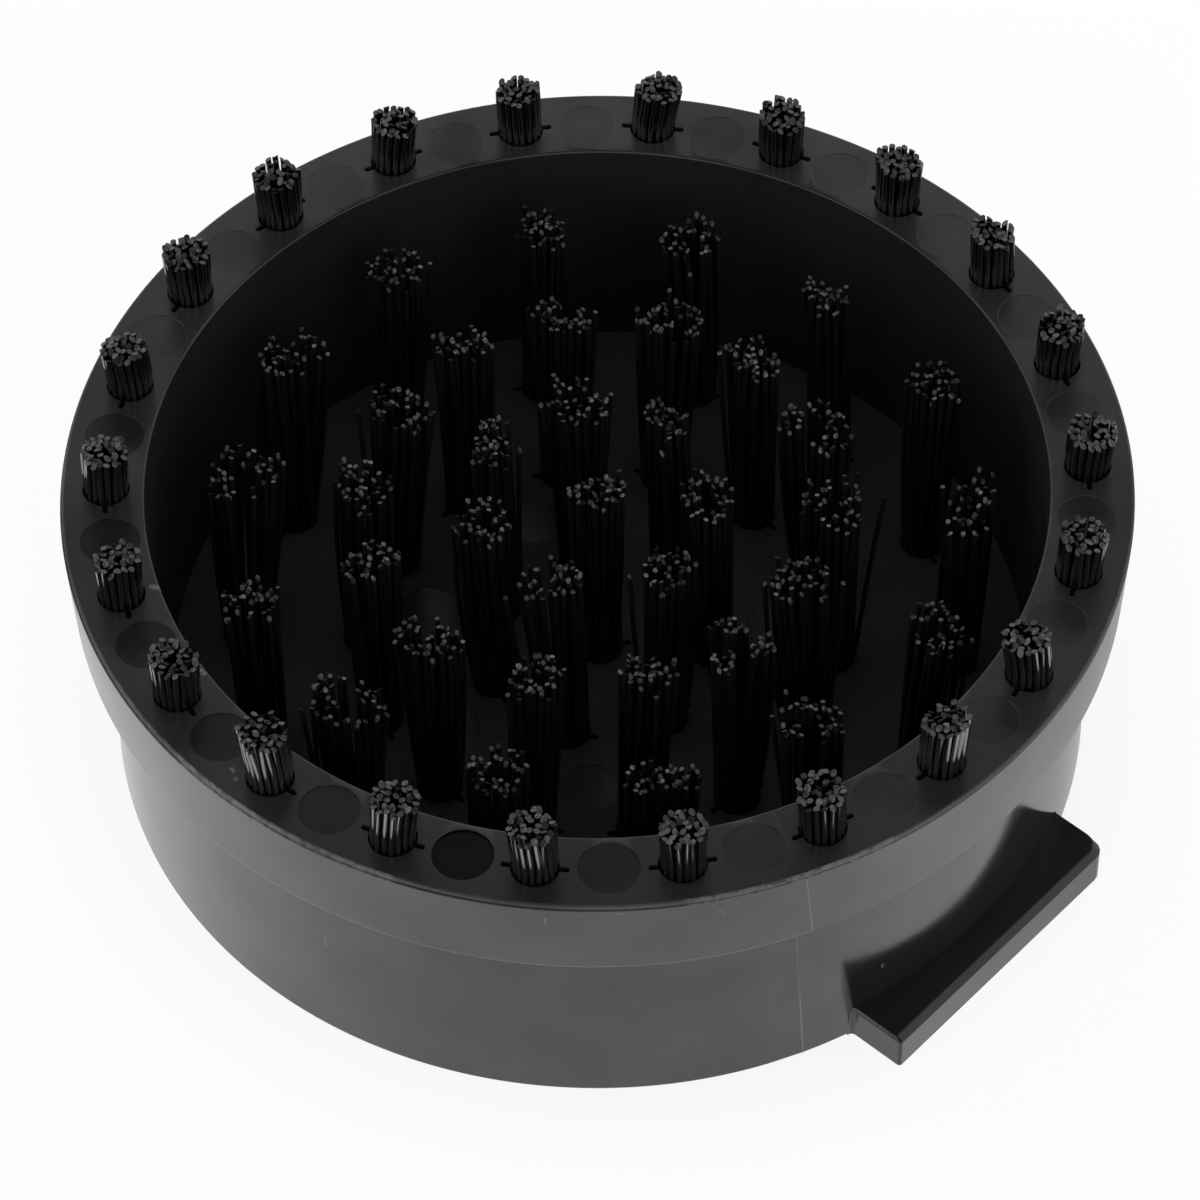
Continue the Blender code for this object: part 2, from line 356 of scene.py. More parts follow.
def pale_edge_stretch(start, end, strength):
    """A stretch of the rim's edge painted pale, partly as wear and partly as a painted highlight, between
    two angles in degrees.
    """
    ends = []
    for angle in (math.radians(start), math.radians(end)):
        ends.append((RIM_RADIUS * math.cos(angle), RIM_RADIUS * math.sin(angle), CUP_HEIGHT - 0.1))
    return (*ends, 1.6, strength)


# Paler stretches of the rim's edge: partly rubbed wear and partly a painted highlight where the rounding
# catches the light.
EDGE_WEAR_AND_HIGHLIGHT = (
    pale_edge_stretch(-108, -96, 0.35),
    pale_edge_stretch(-96, -84, 0.8),
    pale_edge_stretch(-84, -70, 0.5),
    pale_edge_stretch(-38, -28, 0.5),
    pale_edge_stretch(-28, -17, 0.6),
)


def pale_line_mask(tree, place, start, end, width, strength):
    """A short pale line between two points, faded at its ends."""
    a = Vector(start) * MM
    along = Vector(end) * MM - a
    from_a = add_node(tree, "ShaderNodeVectorMath", {"operation": "SUBTRACT"})
    tree.links.new(place, from_a.inputs[0])
    from_a.inputs[1].default_value = a
    share = dot_product(tree, from_a.outputs[0], along / along.length_squared)
    held = add_node(tree, "ShaderNodeClamp", Value=share).outputs[0]
    nearest = add_node(tree, "ShaderNodeVectorMath", {"operation": "SCALE"})
    nearest.inputs[0].default_value = along
    tree.links.new(held, nearest.inputs["Scale"])
    away = add_node(tree, "ShaderNodeVectorMath", {"operation": "DISTANCE"})
    tree.links.new(from_a.outputs[0], away.inputs[0])
    tree.links.new(nearest.outputs[0], away.inputs[1])
    return spread_to(tree, away.outputs["Value"], width * MM / 4, width * MM / 2, strength, 0.0)


# %% The finish of the cup
def new_finish(name):
    """A new material, its tree, its shader, and the place on the object in metres."""
    material = bpy.data.materials.new(name)
    material.use_nodes = True
    tree = material.node_tree
    place = add_node(tree, "ShaderNodeTexCoord").outputs["Object"]
    return material, tree, tree.nodes["Principled BSDF"], place


def add_relief(tree, shader, relief, strength):
    bump = add_node(tree, "ShaderNodeBump", Height=relief, Distance=1.0, Strength=strength)
    tree.links.new(bump.outputs[0], shader.inputs["Normal"])


def plastic_finish(name, base, roughness, level=0.5, cloudiness=1.0, coat=0.0, pale_marks=()):
    """Moulded black plastic: clouds, grain, dust and pale marks over one base level of black. The pale
    marks are scuffs on faces and partly painted highlights along edges.
    """
    material, tree, shader, place = new_finish(name)
    shader.inputs["IOR"].default_value = 1.49
    shader.inputs["Coat Weight"].default_value = coat
    shader.inputs["Coat Roughness"].default_value = roughness
    shader.inputs["Specular Tint"].default_value = (0.965, 0.955, 1.0, 1.0)

    clouds = noise(tree, place, 95.0, 3.0)
    grain = noise(tree, place, 2600.0, 1.0)
    swing = 0.22 * cloudiness
    cloud_tone = spread_to(tree, clouds, 0.3, 0.7, 1 - swing, 1 + swing)
    grain_tone = spread_to(tree, grain, 0.3, 0.7, 0.93, 1.07)
    tone = calculate(tree, "MULTIPLY", cloud_tone, grain_tone)
    colour = blend_colours(tree, calculate(tree, "MULTIPLY", tone, 0.5), grey(0.0), grey(2 * base, -0.04))

    cells = add_node(tree, "ShaderNodeTexVoronoi", Vector=place, Scale=230.0)
    near = spread_to(tree, cells.outputs["Distance"], 0.018, 0.030, 1.0, 0.0)
    chosen = add_node(tree, "ShaderNodeSeparateColor", Color=cells.outputs["Color"]).outputs[0]
    dusty = calculate(tree, "GREATER_THAN", chosen, 0.86)
    pale = calculate(tree, "MULTIPLY", near, dusty)
    broken = spread_to(tree, noise(tree, place, 2200.0, 2.0), 0.38, 0.58, 0.15, 1.0)
    for start, end, width, strength in pale_marks:
        mark = pale_line_mask(tree, place, start, end, width, strength)
        pale = calculate(tree, "MAXIMUM", pale, calculate(tree, "MULTIPLY", mark, broken))
    colour = blend_colours(tree, calculate(tree, "MULTIPLY", pale, 0.55), colour, grey(0.20))
    tree.links.new(colour, shader.inputs["Base Color"])

    smudges = noise(tree, place, 150.0, 4.0)
    gloss = spread_to(tree, smudges, 0.3, 0.7, level - 0.10 * cloudiness, level + 0.10 * cloudiness)
    tree.links.new(gloss, shader.inputs["Specular IOR Level"])
    sheen_clouds = noise(tree, place, 240.0, 3.0)
    rough = spread_to(tree, sheen_clouds, 0.3, 0.7, roughness - 0.03, roughness + 0.04)
    tree.links.new(rough, shader.inputs["Roughness"])

    waves = calculate(tree, "MULTIPLY", noise(tree, place, 60.0, 1.0), 0.05 * MM)
    pores = calculate(tree, "MULTIPLY", grain, 0.003 * MM)
    add_relief(tree, shader, calculate(tree, "ADD", waves, pores), 0.6)
    return material


wall_finish = plastic_finish("polished_black_plastic", 0.009, 0.13, coat=0.38, pale_marks=WALL_SCUFFS)
rim_finish = plastic_finish("satin_black_plastic", 0.011, 0.26, cloudiness=1.3, pale_marks=RIM_SCUFFS)
mouth_finish = plastic_finish("matt_black_plastic", 0.012, 0.50, level=0.12, cloudiness=0.6)
floor_finish = plastic_finish("dull_black_plastic", 0.0125, 0.50, level=0.12, cloudiness=0.6)
# A paler copy of the black for edge roundings: partly rubbed wear, partly a painted highlight for the
# light they catch.
edge_wear_and_highlight_finish = plastic_finish("rubbed_black_edge_and_painted_highlight", 0.026, 0.34, cloudiness=2.4, pale_marks=EDGE_WEAR_AND_HIGHLIGHT)
# A pale finish for the seam ridge and the skirt's foot: a painted highlight, not the plastic's own
# colour.
highlight_line_finish = plastic_finish("parting_line_painted_highlight", 0.055, 0.17, coat=0.38)
lug_finish = plastic_finish("lug_black_plastic", 0.010, 0.15, coat=0.15)
pin_finish = plastic_finish("pin_mark_plastic", 0.008, 0.28, level=0.47, cloudiness=1.5)
# Darker copies of the pin finish: painted shade for pin marks that lie in shadow.
shaded_pin_finish = plastic_finish("pin_mark_painted_shade", 0.005, 0.32, level=0.32, cloudiness=1.2)
deep_shaded_pin_finish = plastic_finish("pin_mark_painted_deep_shade", 0.0015, 0.30, level=0.12, cloudiness=0.5)
PIN_FINISHES = [pin_finish, shaded_pin_finish, deep_shaded_pin_finish]
CUP_FINISHES = [wall_finish, rim_finish, mouth_finish, floor_finish, edge_wear_and_highlight_finish, highlight_line_finish, lug_finish]
CUP_FINISHES += PIN_FINISHES
WALL, RIM, MOUTH, INSIDE, EDGE, LINE = range(6)
print("cup finishes:", [finish.name for finish in CUP_FINISHES])

# %% [markdown]
# ## Black nylon
# The bristles are thick extruded nylon strands. Their sides are smooth and glossy, so each strand
# shows a bright streak, and their cut ends are rough and look pale. One finish that looks for the
# top of a strand would fail where a strand leans, so the mesh gives the sides and the ends a finish
# each. Every strand is an island of the mesh, so one number per island is enough to make them differ
# a little. The short strands on the rim are the glossier ones: they mirror the paper in their upper
# part and the dark rim in their lower part, so they look black at their feet.

# %% The finishes of a bristle
def strand_finish(name, darkest, palest, roughness, common, seldom, lump_scale, lump_height):
    """Nylon whose tone differs from strand to strand, and in lumps on each strand.

    common is the tone that most strands share, and a higher power seldom makes pale ones rarer.
    """
    material, tree, shader, place = new_finish(name)
    shader.inputs["IOR"].default_value = 1.53
    own = add_node(tree, "ShaderNodeNewGeometry").outputs["Random Per Island"]
    own_tone = spread_to(tree, calculate(tree, "POWER", own, seldom), 0.0, 1.0, common, 1.0)
    lumps = noise(tree, place, lump_scale, 2.0)
    factor = calculate(tree, "MULTIPLY", own_tone, spread_to(tree, lumps, 0.40, 0.62, 0.08, 1.0))
    colour = blend_colours(tree, factor, grey(darkest, -0.03), grey(palest, -0.03))
    tree.links.new(colour, shader.inputs["Base Color"])
    rough = spread_to(tree, factor, 0.0, 1.0, roughness - 0.04, roughness + 0.07)
    tree.links.new(rough, shader.inputs["Roughness"])
    add_relief(tree, shader, calculate(tree, "MULTIPLY", lumps, lump_height * MM), 0.7)
    return material


long_finish = strand_finish("long_nylon_strand", 0.005, 0.008, 0.18, 0.12, 2.0, 1200.0, 0.004)
short_finish = strand_finish("short_nylon_strand", 0.004, 0.007, 0.13, 0.12, 2.0, 1200.0, 0.003)
gloss = short_finish.node_tree.nodes["Principled BSDF"].inputs
gloss["Coat Weight"].default_value = 1.0
gloss["Coat IOR"].default_value = 2.1
gloss["Coat Roughness"].default_value = 0.11
end_finish = strand_finish("cut_nylon_end", 0.006, 0.12, 0.36, 0.03, 3.0, 5200.0, 0.03)
trimmed_finish = strand_finish("trimmed_nylon_end", 0.005, 0.10, 0.36, 0.15, 1.4, 4200.0, 0.04)

# %% [markdown]
# The anchor is a flat piece of steel wire, dull and finely streaked from being drawn through a die.
# Noise that is stretched along the wire gives those streaks.

# %% The finish of an anchor
wire_finish, tree, shader, place = new_finish("drawn_steel_wire")
shader.inputs["Metallic"].default_value = 1.0
stretched = add_node(tree, "ShaderNodeMapping", Vector=place, Scale=(400.0, 400.0, 6000.0)).outputs[0]
streaks = noise(tree, stretched, 1.0, 2.0)
tree.links.new(blend_colours(tree, streaks, grey(0.35), grey(0.55)), shader.inputs["Base Color"])
tree.links.new(spread_to(tree, streaks, 0.3, 0.7, 0.32, 0.48), shader.inputs["Roughness"])
print("bristle finishes:", long_finish.name, end_finish.name, wire_finish.name)

# %% [markdown]
# ## The cup, turned from a profile
# The cup is round but for its lug, and its mould was turned on a lathe, so its shape is a half
# section turned round the axis. What makes it look moulded are the small roundings of its edges and
# the fine ledge beside the rim, where two parts of the mould meet: they catch the light as thin
# lines. A bevel modifier could round the edges too, but with the roundings drawn in the profile each
# has its own radius and finish, and costs few faces.

# %% Helpers for a profile
def corner_arc(centre, radius, start, end, steps=4):
    """Points of a rounded edge, from one angle to another, in degrees. 0 points outwards, 90 up."""
    points = []
    for i in range(steps + 1):
        angle = math.radians(start + (end - start) * i / steps)
        points.append((centre[0] + radius * math.cos(angle), centre[1] + radius * math.sin(angle)))
    return points


def new_mesh_object(name, points, faces, materials):
    """Makes an object from points in millimetres. Its normals are turned to point outwards."""
    mesh = bpy.data.meshes.new(name)
    mesh.from_pydata([Vector(p) * MM for p in points], [], faces)
    bm = bmesh.new()
    bm.from_mesh(mesh)
    bmesh.ops.remove_doubles(bm, verts=bm.verts, dist=1e-7)
    bmesh.ops.dissolve_degenerate(bm, edges=bm.edges, dist=1e-7)
    bmesh.ops.recalc_face_normals(bm, faces=bm.faces)
    bm.to_mesh(mesh)
    bm.free()
    for material in materials:
        mesh.materials.append(material)
    made = bpy.data.objects.new(name, mesh)
    bpy.context.scene.collection.objects.link(made)
    return made


# %% The half section of the cup
BASE_EDGE = 0.25
SKIRT_EDGE = 0.16
RIM_EDGE = 0.18
MOUTH_EDGE = 0.16
CORNER_UNDER_SKIRT = 0.2
LEDGE_DROP = 0.32
LEDGE_WIDTH = 0.05
LEDGE_EDGE = 0.06
FLOOR_FILLET = 0.12
rim_land = RIM_RADIUS - LEDGE_WIDTH
ledge = CUP_HEIGHT - LEDGE_DROP

profile = []
finish_above = []


def add_to_profile(points, finish):
    """Draws the next stretch of the half section. Each face takes the finish of its last point."""
    profile.extend(points)
    finish_above.extend([finish] * len(points))


add_to_profile(corner_arc((DRUM_FOOT_RADIUS - BASE_EDGE, BASE_EDGE), BASE_EDGE, -90, 0), WALL)
add_to_profile([(DRUM_FOOT_RADIUS - 0.1, 8.0)], WALL)
under_skirt = (DRUM_RADIUS + CORNER_UNDER_SKIRT, SKIRT_FOOT - CORNER_UNDER_SKIRT)
add_to_profile(corner_arc(under_skirt, CORNER_UNDER_SKIRT, 180, 90, 2), WALL)
add_to_profile([(SKIRT_RADIUS - SKIRT_EDGE, SKIRT_FOOT)], WALL)
skirt_centre = (SKIRT_RADIUS - SKIRT_EDGE, SKIRT_FOOT + SKIRT_EDGE)
# The rounding at the skirt's foot takes the pale line finish: a painted highlight.
add_to_profile(corner_arc(skirt_centre, SKIRT_EDGE, -60, 0), LINE)
add_to_profile([(RIM_RADIUS, ledge - LEDGE_EDGE)], WALL)
# The roundings at the ledge, the rim's outer edge and the mouth take the paler edge finish: partly wear,
# partly a painted highlight.
add_to_profile(corner_arc((RIM_RADIUS - LEDGE_EDGE, ledge - LEDGE_EDGE), LEDGE_EDGE, 30, 90, 2), EDGE)
last_of_wall = len(profile)
add_to_profile([(rim_land, ledge)], EDGE)
add_to_profile(corner_arc((rim_land - RIM_EDGE, CUP_HEIGHT - RIM_EDGE), RIM_EDGE, 0, 90), EDGE)
last_of_rim = len(profile)
add_to_profile([(MOUTH_RADIUS + MOUTH_EDGE, CUP_HEIGHT)], RIM)
mouth_centre = (MOUTH_RADIUS + MOUTH_EDGE, CUP_HEIGHT - MOUTH_EDGE)
add_to_profile(corner_arc(mouth_centre, MOUTH_EDGE, 112, 146, 2), RIM)
add_to_profile(corner_arc(mouth_centre, MOUTH_EDGE, 154, 180, 2), EDGE)
floor_corner = (FLOOR_RADIUS - FLOOR_FILLET, FLOOR_TOP + FLOOR_FILLET)
add_to_profile([(FLOOR_RADIUS + 0.01, FLOOR_TOP + FLOOR_FILLET + 0.2)], MOUTH)
add_to_profile(corner_arc(floor_corner, FLOOR_FILLET, 0, -90, 3), INSIDE)
print(len(profile), "points in the half section")

# %% [markdown]
# The two halves of the side mould also leave a seam up the wall: a hair-thin ridge. It is drawn by
# giving the turned wall three extra columns of points side by side and lifting the middle one, since
# a ridge that is only bump would be lost in the exported mesh. The seam leans a little, and steps
# sideways at the skirt, as the photograph shows. The part of the mould that shapes the rim sits
# slightly off centre, so the ledge beside the rim is wider on one side.

# %% Turn the profile
SEGMENTS = 288
SEAM_HEIGHT = 0.035
SEAM_HALF_WIDTH = 0.06
SEAMS = (-25.5, 154.5)


def seam_shift(height):
    """How far the seam is to one side of its middle line, in degrees, at a height."""
    if height > SKIRT_FOOT - 0.1:
        return 0.2 - 1.2 * (height - SKIRT_FOOT) / (CUP_HEIGHT - SKIRT_FOOT)
    return 1.1 - 1.4 * height / SKIRT_FOOT


columns = []
for i in range(SEGMENTS):
    angle = -180 + 360 * i / SEGMENTS
    if min(abs(angle - seam) for seam in SEAMS) > 2.0:
        columns.append((angle, 0.0, 0.0))
for seam in SEAMS:
    beside = math.degrees(SEAM_HALF_WIDTH / RIM_RADIUS)
    columns += [(seam - beside, 0.0, 1.0), (seam, SEAM_HEIGHT, 1.0), (seam + beside, 0.0, 1.0)]
columns.sort()

LEDGE_SWING = 0.07
WIDEST_LEDGE = -100.0
points = []
for angle, lift, leans in columns:
    swing = LEDGE_SWING * math.cos(math.radians(angle - WIDEST_LEDGE))
    for i, (radius, level) in enumerate(profile):
        if i < last_of_wall:
            radius += lift
        elif i < last_of_rim:
            radius -= max(swing, 0.02 - LEDGE_WIDTH)
        here = math.radians(angle + leans * seam_shift(level))
        points.append((radius * math.cos(here), radius * math.sin(here), level))
faces = []
picks = []
rows = len(profile)
for i in range(len(columns)):
    after = (i + 1) % len(columns)
    on_seam = columns[i][2] > 0 and columns[after][2] > 0
    for j in range(rows - 1):
        faces.append((i * rows + j, after * rows + j, after * rows + j + 1, i * rows + j + 1))
        # Seam faces take the pale line finish: a painted highlight along the ridge.
        picks.append(LINE if on_seam and j < last_of_wall else finish_above[j + 1])
faces.append([i * rows for i in range(len(columns))])
faces.append([i * rows + rows - 1 for i in range(len(columns))])
picks += [WALL, INSIDE]
cup_turned = new_mesh_object("cup_turned", points, faces, CUP_FINISHES)
cup_turned.data.polygons.foreach_set("material_index", picks)
print("turned wall:", len(cup_turned.data.polygons), "faces")

# %% [markdown]
# ## Solids from stacked outlines
# The lug, the drill and the ejector pins are all outlines that are carried straight up with a small
# change at an edge. Each could be an extrusion with a bevel, but a bevel can't slope one edge and
# round the next. So one helper stacks outlines at their heights and skins them into a closed solid.
# It can hold several such solids, each in a frame of its own and with its own finish.

# %% Stack outlines into solids
def stacked_solids(name, stacks, finishes):
    """One object made of stacks: each is a frame, its levels as (height, outline), and a finish."""
    points = []
    faces = []
    picks = []
    for frame_here, levels, pick in stacks:
        first = len(points)
        size = len(levels[0][1])
        for height, outline in levels:
            points += [frame_here @ Vector((x, y, height)) for x, y in outline]
        for level in range(len(levels) - 1):
            for j in range(size):
                after = (j + 1) % size
                a = first + level * size
                faces.append((a + j, a + after, a + size + after, a + size + j))
        faces.append([first + j for j in reversed(range(size))])
        faces.append([first + (len(levels) - 1) * size + j for j in range(size)])
        picks += [pick] * (len(faces) - len(picks))
    solid = new_mesh_object(name, points, faces, finishes)
    solid.data.polygons.foreach_set("material_index", picks)
    return solid


# %% [markdown]
# ## The grip lug
# At the foot of the drum a straight bar gives the hand something to push against. Its upright
# corners are rounded, its top slopes down to the outer face in a narrow band, and small hollow
# fillets lead its ends into the drum. The dark curved shape above it in the photograph isn't plastic:
# it is the lug's own dark top, mirrored in the polished wall. It could be painted on, but it appears
# by itself once the wall is glossy enough, and then it is right from every side.

# %% The bar in plan, carried up to its sloping top edge
LUG_ENDS = (10.15, 10.95)
LUG_THICKNESS = 2.8
LUG_SLOPE = 31.0
LUG_SLOPE_WIDTH = 0.42
LUG_HARD_EDGE = 0.08
LUG_SOFT_EDGE = 0.35
LUG_CORNERS = (0.22, 0.95)
LUG_ROOTS = (0.35, 0.1)
LUG_DEPTH_IN_DRUM = 4.0


def half_of_lug(inset, reach, corner, root):
    """From the middle of the outer face round one end, and on to a point inside the drum."""
    face = LUG_FACE - inset
    end = reach - min(inset, LUG_HARD_EDGE)
    at_root = math.sqrt(DRUM_FOOT_RADIUS**2 - (end + root) ** 2)
    half = corner_arc((face - corner, end - corner), corner, 0, 90)
    half += corner_arc((at_root + root, end + root), root, 270, 180)
    return half + [(at_root - LUG_DEPTH_IN_DRUM, end + root)]


def lug_outline(inset):
    """The bar seen from above, whose two ends run into the drum with fillets of their own."""
    near, far = [half_of_lug(inset, *sizes) for sizes in zip(LUG_ENDS, LUG_CORNERS, LUG_ROOTS)]
    return [(x, -y) for x, y in reversed(near)] + far


tilt = math.radians(LUG_SLOPE)
soft_drop = LUG_SOFT_EDGE * (1 - math.cos(tilt))
slope_drop = LUG_SLOPE_WIDTH * math.tan(tilt)
hard_centre = (-LUG_HARD_EDGE, LUG_THICKNESS - soft_drop - slope_drop - LUG_HARD_EDGE * math.cos(tilt))
lug_edge = corner_arc(hard_centre, LUG_HARD_EDGE, 0, 90 - LUG_SLOPE)
slope_top = lug_edge[-1][0] - LUG_SLOPE_WIDTH
soft_centre = (slope_top - LUG_SOFT_EDGE * math.sin(tilt), LUG_THICKNESS - LUG_SOFT_EDGE)
lug_edge += corner_arc(soft_centre, LUG_SOFT_EDGE, 90 - LUG_SLOPE, 90)
lug_levels = [(0.0, lug_outline(0.0))] + [(level, lug_outline(-out)) for out, level in lug_edge]
lug = stacked_solids("grip_lug", [(Matrix.Identity(4), lug_levels, 0)], [lug_finish])
print("lug:", len(lug.data.polygons), "faces")

# %% [markdown]
# ## Drilled holes and ejector marks
# Each tuft sits in a drilled hole. When the machine drives a tuft home, the ends of its wire anchor
# cut a fine slit into both sides of the hole. Between the tufts, round pins pushed the fresh moulding
# out of its mould, and each left a flat, duller disc a few hundredths of a millimetre deep. Both are
# cut with solid tools, as on the real object, and the edge of each tool is slightly tapered, so that
# the cut edge has a small bevel that catches the light. The face left by a pin keeps the tool's own
# duller finish. Several pins on the front and left get darker copies of it, a painted shade for the
# shadow in their shallow hollows.

# %% The drill
DRILL_RADIUS = 1.52
HOLE_DEPTH = 3.6
HOLE_BEVEL = 0.04
SLIT_HALF_LENGTH = 2.12
SLIT_HALF_WIDTH = 0.17
HOLE_CORNERS = 40
TOOL_STANDS_OUT = 0.6


def hole_outline(grow=0.0):
    """A round hole with a slit at +X and -X."""
    radius = DRILL_RADIUS + grow
    half_width = SLIT_HALF_WIDTH + grow
    start = math.asin(half_width / radius)
    outline = []
    for side in (0, 1):
        turn = math.pi * side
        for i in range(HOLE_CORNERS // 2 + 1):
            angle = turn + start + (math.pi - 2 * start) * i / (HOLE_CORNERS // 2)
            outline.append((radius * math.cos(angle), radius * math.sin(angle)))
        end = -1 if side == 0 else 1
        reach = SLIT_HALF_LENGTH + grow
        blunt = half_width * 0.5
        outline.append((end * (reach - blunt), -end * half_width))
        outline.append((end * reach, -end * blunt))
        outline.append((end * reach, end * blunt))
        outline.append((end * (reach - blunt), end * half_width))
    return outline


hole_levels = [
    (-HOLE_DEPTH, hole_outline()),
    (-HOLE_BEVEL, hole_outline()),
    (0.0, hole_outline(HOLE_BEVEL)),
    (TOOL_STANDS_OUT, hole_outline(HOLE_BEVEL)),
]
drills = stacked_solids("drills", [(seat, hole_levels, 0) for seat in seats.values()], [floor_finish])

# %% The ejector pins
PIN_RADIUS = 1.95
PIN_BEVEL = 0.03
DEEPEST_PINS = math.radians(-85)
RIM_PIN_PITCH = 31.9
FLOOR_PIN_PITCH = 12.1
RIM_PIN_DEPTH = 0.04
RIM_PIN_DEPTH_SWING = 0.02
FLOOR_PIN_DEPTH = 0.05
# Pins whose faces get the darker copies of the pin finish: painted shade.
DEEPEST_PAINTED_SHADE_PIN = 12
PAINTED_SHADE_PINS = (11, 13, 14, 15, 16, 17)


def disc_outline(radius, count=56):
    angles = [math.tau * i / count for i in range(count)]
    return [(radius * math.cos(angle), radius * math.sin(angle)) for angle in angles]


def pin_levels(depth):
    """A pin at its face, at the surface, and above the surface, where the tool widens."""
    return [
        (-depth, disc_outline(PIN_RADIUS - PIN_BEVEL)),
        (0.0, disc_outline(PIN_RADIUS)),
        (0.4, disc_outline(PIN_RADIUS + 0.2)),
    ]


pins = []
for number in range(22):
    angle = FIRST_TUFT - (number + 0.5) * math.tau / 22
    depth = RIM_PIN_DEPTH + RIM_PIN_DEPTH_SWING * math.cos(angle - DEEPEST_PINS)
    pick = 2 if number == DEEPEST_PAINTED_SHADE_PIN else 1 if number in PAINTED_SHADE_PINS else 0
    seat_here = seat_on_circle(angle, RIM_PIN_PITCH, CUP_HEIGHT)
    pins.append((seat_here, pin_levels(depth * (2 if pick == 2 else 1)), pick))
for number in range(7):
    angle = FIRST_TUFT - (2 * number + 1.5) * math.tau / 14
    pins.append((seat_on_circle(angle, FLOOR_PIN_PITCH, FLOOR_TOP), pin_levels(FLOOR_PIN_DEPTH), 0))
pin_tools = stacked_solids("ejector_pins", pins, PIN_FINISHES)
print(len(seats), "holes and", len(pins), "pin marks")

# %% [markdown]
# ## Join and cut
# The lug is joined to the turned wall, and the tools are cut away from both. The exact solver keeps
# flat faces flat. The result is stored as a plain mesh, and the tools are thrown away. Faces that
# meet at a low angle are shaded as one smooth surface, and the large flat faces lead at the small
# roundings beside them, which is what the weighted normals do.

# %% Make the cup's final mesh
def combine(target, tool, operation):
    step = target.modifiers.new(tool.name, "BOOLEAN")
    step.operation = operation
    step.solver = "EXACT"
    step.material_mode = "TRANSFER"
    step.object = tool


combine(cup_turned, lug, "UNION")
combine(cup_turned, drills, "DIFFERENCE")
combine(cup_turned, pin_tools, "DIFFERENCE")
finished = cup_turned.evaluated_get(bpy.context.evaluated_depsgraph_get())
cup_mesh = bpy.data.meshes.new_from_object(finished)
cup_mesh.name = "moulded_cup"
for used in (cup_turned, lug, drills, pin_tools):
    bpy.data.objects.remove(used)
cup = bpy.data.objects.new("moulded_cup", cup_mesh)
bpy.context.scene.collection.objects.link(cup)
cup_mesh.shade_smooth()
cup_mesh.set_sharp_from_angle(angle=math.radians(32))
leading = cup.modifiers.new("flat_faces_lead", "WEIGHTED_NORMAL")
leading.keep_sharp = True
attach(cup, "root")
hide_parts("cup_body")
print("cup:", len(cup_mesh.polygons), "faces,", [m.name for m in cup_mesh.materials])

# %% [markdown]
# ## Tufts
# A tuft is a bundle of strands, laid across its hole and pushed in by the wire anchor, so that every
# strand is folded in two and shows both of its ends. So this code makes folded strands: down from one
# end, round under the anchor, and up to the other end. The strands stand in a few rings, half of
# them on each side of the anchor. Hair particles would be quicker to set up, but the exported model
# needs real strands with cut ends, so each one is swept along a path as a tube.

# %% Sweep a strand along its path
STRAND_SIDES = 7


def sweep(points, faces, picks, path, cuts, habit):
    """Adds a tube round a path. cuts holds how each end is slanted: a slope in x and in y."""
    first = len(points)
    side = Vector((1.0, 0.0, 0.0))
    last = len(path) - 1
    for i, middle in enumerate(path):
        along = (path[min(i + 1, last)] - path[max(i - 1, 0)]).normalized()
        side = (side - along * side.dot(along)).normalized()
        other = along.cross(side)
        slope = cuts[0] if i <= 1 else cuts[1] if i >= last - 1 else None
        radius = habit["thickness"] / 2 * (habit["flare"] if i in (0, last) else 1.0)
        for j in range(STRAND_SIDES):
            turn = math.tau * j / STRAND_SIDES
            offset = radius * (math.cos(turn) * side + math.sin(turn) * other)
            if slope:
                offset.z += offset.x * slope[0] + offset.y * slope[1]
            corner = middle + offset
            corner.z = min(corner.z, habit["highest"])
            points.append(corner)
    for i in range(last):
        for j in range(STRAND_SIDES):
            after = (j + 1) % STRAND_SIDES
            a = first + i * STRAND_SIDES
            faces.append((a + j, a + after, a + STRAND_SIDES + after, a + STRAND_SIDES + j))
            picks.append(1 if i in (0, last - 1) else 0)
    faces.append([first + j for j in reversed(range(STRAND_SIDES))])
    faces.append([first + last * STRAND_SIDES + j for j in range(STRAND_SIDES)])
    picks += [1, 1]


# %% Where strands leave the hole
SHORT_RINGS = ((1.28, 18), (0.86, 12), (0.45, 6))
LONG_RINGS = ((1.33, 20), (0.95, 14), (0.57, 8), (0.20, 2))


def strand_feet(rings):
    """Where the folded strands of one side of the anchor leave the hole, and which ring they are in."""
    feet = []
    for row, (radius, count) in enumerate(rings):
        for step in range(count // 2):
            angle = (step + 0.5) * math.tau / count
            feet.append((radius * math.cos(angle), radius * math.sin(angle), row))
    return feet


short_feet = strand_feet(SHORT_RINGS)
long_feet = strand_feet(LONG_RINGS)
print("ends in a tuft:", 2 * len(short_feet), "on the rim and", 2 * len(long_feet), "inside")

# %% [markdown]
# No two tufts look alike. The short ones on the rim are trimmed nearly flat and hold together, and
# the long ones inside have been pushed about by use: they splay into loose rosettes, fall into a few
# clumps, lean a little, and a few strands stray. Placing each strand by hand would take days, so a
# habit describes each kind of tuft, and one seeded generator per tuft draws the rest. So the brush
# is the same every time.
#
# In a habit, splay is how much wider the tuft is at its top than at its foot, hollow how empty its
# middle is, and scatter how far single strands are off their place. slant and ragged say how uneven
# the cut is, wander how far a strand bows, opens how early it bends outwards, and flare how wide its
# cut end is.

# %% The habit of each kind of tuft
RIM_TUFT_TOP = cad_highest.z / MM - CUP_HEIGHT - 0.02


